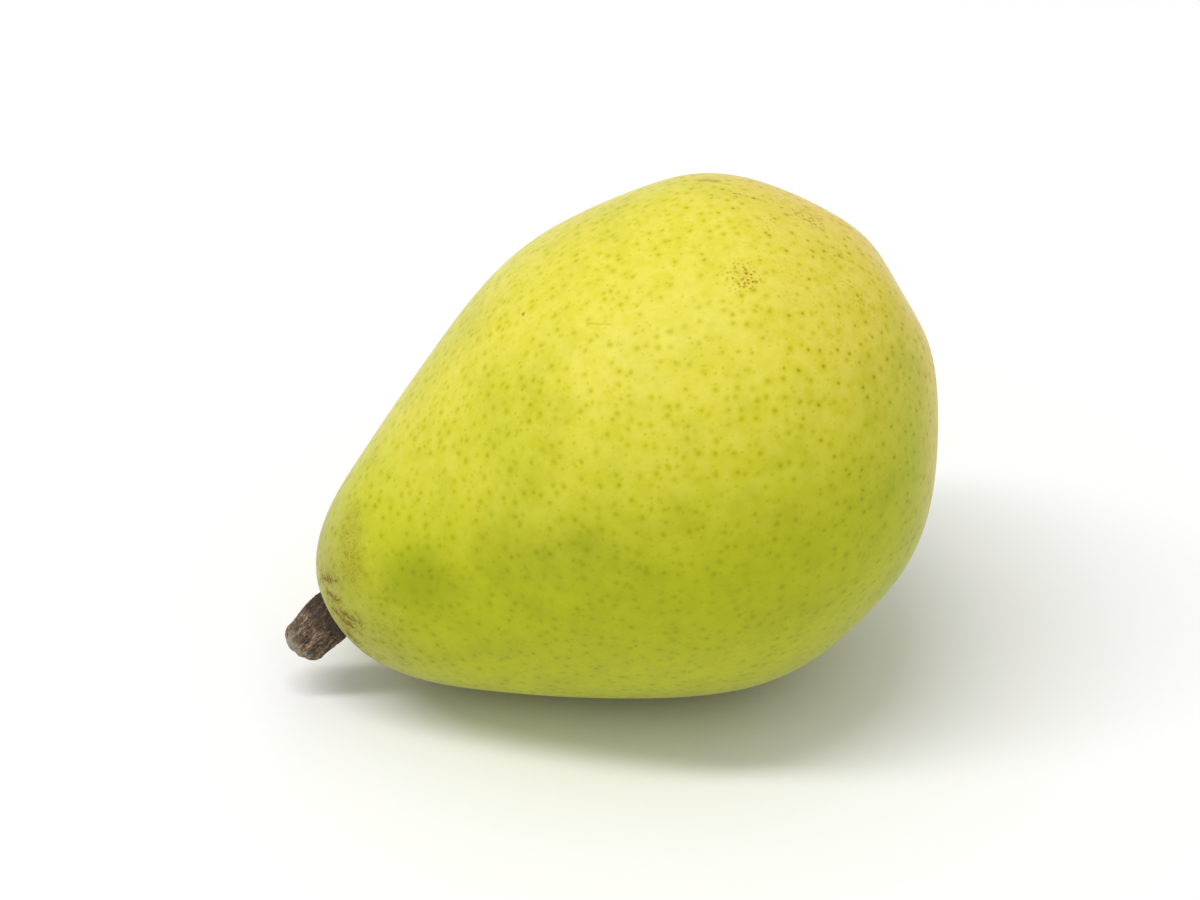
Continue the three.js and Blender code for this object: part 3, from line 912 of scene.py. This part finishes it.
def calyx_tree(calyx, fruit, material):
    """Sets blades and threads on a disc, and bends each out by its own curl."""
    sizes = {
        "Disc bottom": -fruit.basin_depth - calyx.sunk,
        "Disc top": -fruit.basin_depth + calyx.proud,
        **named(calyx, "radius", "root", "sepal_width", "sepal_thickness", "stamen_radius"),
        **named(fruit, "eye_lean"),
        **along_axes("Mouth", fruit.mouth),
        **pose_sizes(fruit),
    }
    tree = ShapeTree("Calyx", sizes)
    size, attribute = tree.size, tree.attribute

    def in_eye(across, outward, up):
        """A place in the eye's own frame, which starts at the basin's mouth, in the lying pear."""
        lean = {"Axis": eye_hinge(fruit), "Angle": size("Eye lean")}
        inputs = {"Vector": tree.join(across, outward, up), **lean}
        turned = tree.field("ShaderNodeVectorRotate", inputs, rotation_type="AXIS_ANGLE")
        moved = [part + size(f"Mouth {axis}") for part, axis in zip(tree.split(turned), "XYZ")]
        return tree.join(*tree.lay_down(*moved))

    leaf = tree.field("GeometryNodeMeshCube", LEAF_GRID, "Mesh")
    thread = tree.cylinder(THREAD_GRID, 0.5)
    local = tree.position()
    kinds = []
    for shape, wanted in ((leaf, 0.0), (thread, 1.0)):
        tagged = tree.store(shape, "local", local, "FLOAT_VECTOR")
        is_kind = tree.math("COMPARE", attribute("thread"), wanted, 0.1)
        inputs = {"Points": size("Geometry"), "Selection": is_kind, "Instance": tagged}
        chosen = tree.field("GeometryNodeInstanceOnPoints", inputs)
        kinds.append(tree.field("GeometryNodeRealizeInstances", {"Geometry": chosen}))

    across, thick, level = tree.split(attribute("local", "FLOAT_VECTOR"))
    is_thread = attribute("thread")
    is_leaf = 1 - is_thread
    reach = attribute("reach")
    turn = attribute("turn")
    step = level + 0.5
    taper = 1 - 0.72 * step ** 1.6
    wobble = tree.noise(tree.join(across * 0.8, turn * 3, step * 1.6), 0.6) - 0.5
    leaf_x = across * size("Sepal width") * taper * (1 + 0.35 * wobble)
    trough = 0.35 * leaf_x * leaf_x / size("Sepal width")
    leaf_z = thick * size("Sepal thickness") * (1 - 0.75 * step) - trough
    leaf_z = leaf_z + wobble * size("Sepal thickness") * 1.1 * step
    knob = 1 + 0.7 * step.rise(0.86, 0.97)
    thread_x = across * 2 * size("Stamen radius") * knob
    thread_z = thick * 2 * size("Stamen radius") * knob
    side = is_leaf * leaf_x + is_thread * thread_x
    over = is_leaf * leaf_z + is_thread * thread_z

    # Along the bend: up from the disc, then out by the lean and the curl.
    foot_y = size("Disc top") - size("Root")
    climb = reach * (2 * 0.6 * step * (1 - step) + 0.8 * step * step)
    lean = attribute("lean")
    spread = reach * (2 * lean * step * (1 - step) + (lean + attribute("curl")) * step * step)
    climb_slope = 1.2 * (1 - 2 * step) + 1.6 * step
    spread_slope = 2 * lean * (1 - 2 * step) + 2 * (lean + attribute("curl")) * step
    slope = (climb_slope * climb_slope + spread_slope * spread_slope).root()
    height = foot_y + climb - over * spread_slope / slope
    outward = attribute("foot") + spread + over * climb_slope / slope
    leaf_across = side * turn.cos() + outward * turn.sin()
    leaf_up = outward * turn.cos() - side * turn.sin()
    leaves_place = in_eye(leaf_across, height, leaf_up)
    leaves = tree.flip(tree.move(tree.join_parts(*kinds), leaves_place))
    leaves = tree.store(leaves, "tip", step)

    disc = tree.cylinder(DISC_GRID, fill_type="TRIANGLE_FAN")
    x, y, level = tree.split(tree.position())
    rough = tree.noise(tree.position(), 0.3, 3.0) - 0.5
    top = size("Disc top")
    bottom = size("Disc bottom")
    dip = level.above(0.49) * ((x * x + y * y) * 0.9 - 0.6 + rough) * 0.0006
    wide = size("Disc radius") * (1 + 0.06 * rough)
    disc_place = in_eye(x * wide, bottom + (level + 0.5) * (top - bottom) + dip, -(y * wide))
    disc = tree.store(tree.move(disc, disc_place), "tip", 0.0)

    tree.finish(tree.join_parts(leaves, disc), material)
    return tree


def calyx_material(finish):
    """Dry brown leaf, dark at the root and bleached at the tip."""
    tree = SurfaceTree("Dried calyx")
    place = tree.field("ShaderNodeTexCoord", None, "Object")
    tip = tree.stored("tip")
    grain = tree.noise(place, 0.0005, 4.0, 0.65)
    blotch = tree.noise(place, 0.0016)
    colour = tree.blend((tip * 0.9 + (blotch - 0.5)).rise(0.0, 0.7), finish.dark, finish.brown)
    colour = tree.blend((tip + (grain - 0.5) * 0.8).rise(0.7, 1.05), colour, finish.tip)
    roughness = 0.8 + 0.2 * (grain - 0.5)
    varying = {"Base Color": colour, "Roughness": roughness, "Normal": tree.bump(grain, CALYX_RELIEF)}
    return tree.shader({"IOR": 1.4, "Specular IOR Level": 0.3}, varying)


# ---------------- stage


def floor_material(stage):
    """Matt white card."""
    tree = SurfaceTree("White floor")
    fibre = tree.noise(tree.field("ShaderNodeTexCoord", None, "Object"), 0.002)
    colour = tree.blend(fibre * 0.04, stage.floor, tuple(c * 0.9 for c in stage.floor))
    return tree.shader({"Specular IOR Level": 0.1}, {"Base Color": colour, "Roughness": 0.9 + 0.05 * fibre})


def add_floor(stage):
    half = stage.floor_size / 2
    mesh = bpy.data.meshes.new("floor")
    corners = [(-half, -half, 0), (half, -half, 0), (half, half, 0), (-half, half, 0)]
    mesh.from_pydata(corners, [], [(0, 1, 2, 3)])
    mesh.materials.append(floor_material(stage))
    floor = add_object("floor", mesh)


def add_sky(stage):
    """Soft light that is strong overhead and weak at the horizon, behind a plain white backdrop."""
    world = bpy.data.worlds.new("Soft studio")
    bpy.context.scene.world = world
    world.use_nodes = True
    tree = Tree(world.node_tree)
    tree.tree.nodes.clear()
    _, _, height = tree.split(tree.field("ShaderNodeTexCoord", None, "Generated"))
    glow = stage.horizon + (stage.overhead - stage.horizon) * height.at_least(0.0)
    backdrop = tree.field("ShaderNodeLightPath", None, "Is Camera Ray")
    strength = glow + backdrop * (1 - glow)
    background = tree.field("ShaderNodeBackground", {"Color": (1.0, 1.0, 1.0), "Strength": strength})
    tree.node("ShaderNodeOutputWorld", {"Surface": background})


def add_key(stage):
    """A long lamp overhead that lies from left to right."""
    view = Vector(stage.aim) - Vector(stage.eye)
    away = Vector((view.x, view.y, 0)).normalized()
    left = Vector((-away.y, away.x, 0))
    up = Vector((0, 0, 1))
    to_lamp = (up - away * math.tan(stage.key_lean) + left * math.tan(stage.key_side)).normalized()
    across = (left - to_lamp * left.dot(to_lamp)).normalized()
    lamp = bpy.data.lights.new("Key", "AREA")
    lamp.shape = "RECTANGLE"
    lamp.energy = stage.key
    lamp.size = 2 * stage.key_distance * math.tan(stage.key_length / 2)
    lamp.size_y = 2 * stage.key_distance * math.tan(stage.key_width / 2)
    axes = Matrix((across, to_lamp.cross(across), to_lamp)).transposed()
    key = add_object("Key", lamp)
    key.matrix_world = Matrix.Translation(to_lamp * stage.key_distance) @ axes.to_4x4()


def add_camera(stage):
    lens = bpy.data.cameras.new("Camera")
    lens.lens = stage.lens
    lens.sensor_width = FILM_WIDTH
    lens.clip_start, lens.clip_end = NEAR, FAR
    camera = add_object("Camera", lens)
    camera.location = stage.eye
    camera.rotation_euler = (Vector(stage.eye) - Vector(stage.aim)).to_track_quat("Z", "Y").to_euler()
    bpy.context.scene.camera = camera


# ---------------- operators


def settle(piece, node):
    """Lets a piece stand for its CAD node."""
    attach(piece, "root")
    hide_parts(node)


class PEAR_OT_fruit(Operator):
    """Grow the fruit and its skin"""

    bl_idname = "pear.fruit"
    bl_label = "Grow fruit"

    def execute(self, context):
        scene = context.scene
        skin = skin_material(scene.pear_skin, scene.pear_fruit)
        settle(fruit_tree(scene.pear_fruit, skin).grow("pear_fruit"), "fruit")
        return {"FINISHED"}


class PEAR_OT_stem(Operator):
    """Grow the stalk and its bark"""

    bl_idname = "pear.stem"
    bl_label = "Grow stem"

    def execute(self, context):
        scene = context.scene
        bark = bark_material(scene.pear_bark)
        settle(stem_tree(scene.pear_stem, scene.pear_fruit, bark).grow("pear_stem"), "stem")
        return {"FINISHED"}


class PEAR_OT_calyx(Operator):
    """Grow the dried calyx in the eye"""

    bl_idname = "pear.calyx"
    bl_label = "Grow calyx"

    def execute(self, context):
        scene = context.scene
        dried = calyx_material(scene.pear_dried)
        tree = calyx_tree(scene.pear_calyx, scene.pear_fruit, dried)
        settle(tree.grow("pear_calyx", calyx_points(scene.pear_calyx)), "calyx")
        return {"FINISHED"}


class PEAR_OT_stage(Operator):
    """Lay the floor and set the light and the camera"""

    bl_idname = "pear.stage"
    bl_label = "Set stage"

    def execute(self, context):
        stage = context.scene.pear_stage
        add_floor(stage)
        add_sky(stage)
        add_key(stage)
        add_camera(stage)
        context.scene.view_settings.view_transform = "Standard"
        return {"FINISHED"}


class PEAR_PT_pieces(Panel):
    """The pear's pieces"""

    bl_label = "Pear"
    bl_idname = "PEAR_PT_pieces"
    bl_space_type = "VIEW_3D"
    bl_region_type = "UI"
    bl_category = "Pear"

    def draw(self, context):
        for operator in OPERATORS:
            self.layout.operator(operator.bl_idname)


OPERATORS = (PEAR_OT_fruit, PEAR_OT_stem, PEAR_OT_calyx, PEAR_OT_stage)
GROUPS = {
    "pear_fruit": FruitSizes,
    "pear_stem": StemSizes,
    "pear_calyx": CalyxSizes,
    "pear_skin": SkinFinish,
    "pear_bark": BarkFinish,
    "pear_dried": CalyxFinish,
    "pear_stage": StageSettings,
}


def register():
    for name, group in GROUPS.items():
        bpy.utils.register_class(group)
        setattr(bpy.types.Scene, name, PointerProperty(type=group))
    for operator in OPERATORS:
        bpy.utils.register_class(operator)
    bpy.utils.register_class(PEAR_PT_pieces)


def unregister():
    bpy.utils.unregister_class(PEAR_PT_pieces)
    for operator in reversed(OPERATORS):
        bpy.utils.unregister_class(operator)
    for name, group in reversed(GROUPS.items()):
        delattr(bpy.types.Scene, name)
        bpy.utils.unregister_class(group)


def main():
    register()
    bpy.ops.pear.fruit()
    bpy.ops.pear.stem()
    bpy.ops.pear.calyx()
    bpy.ops.pear.stage()


if __name__ == "__main__":
    main()
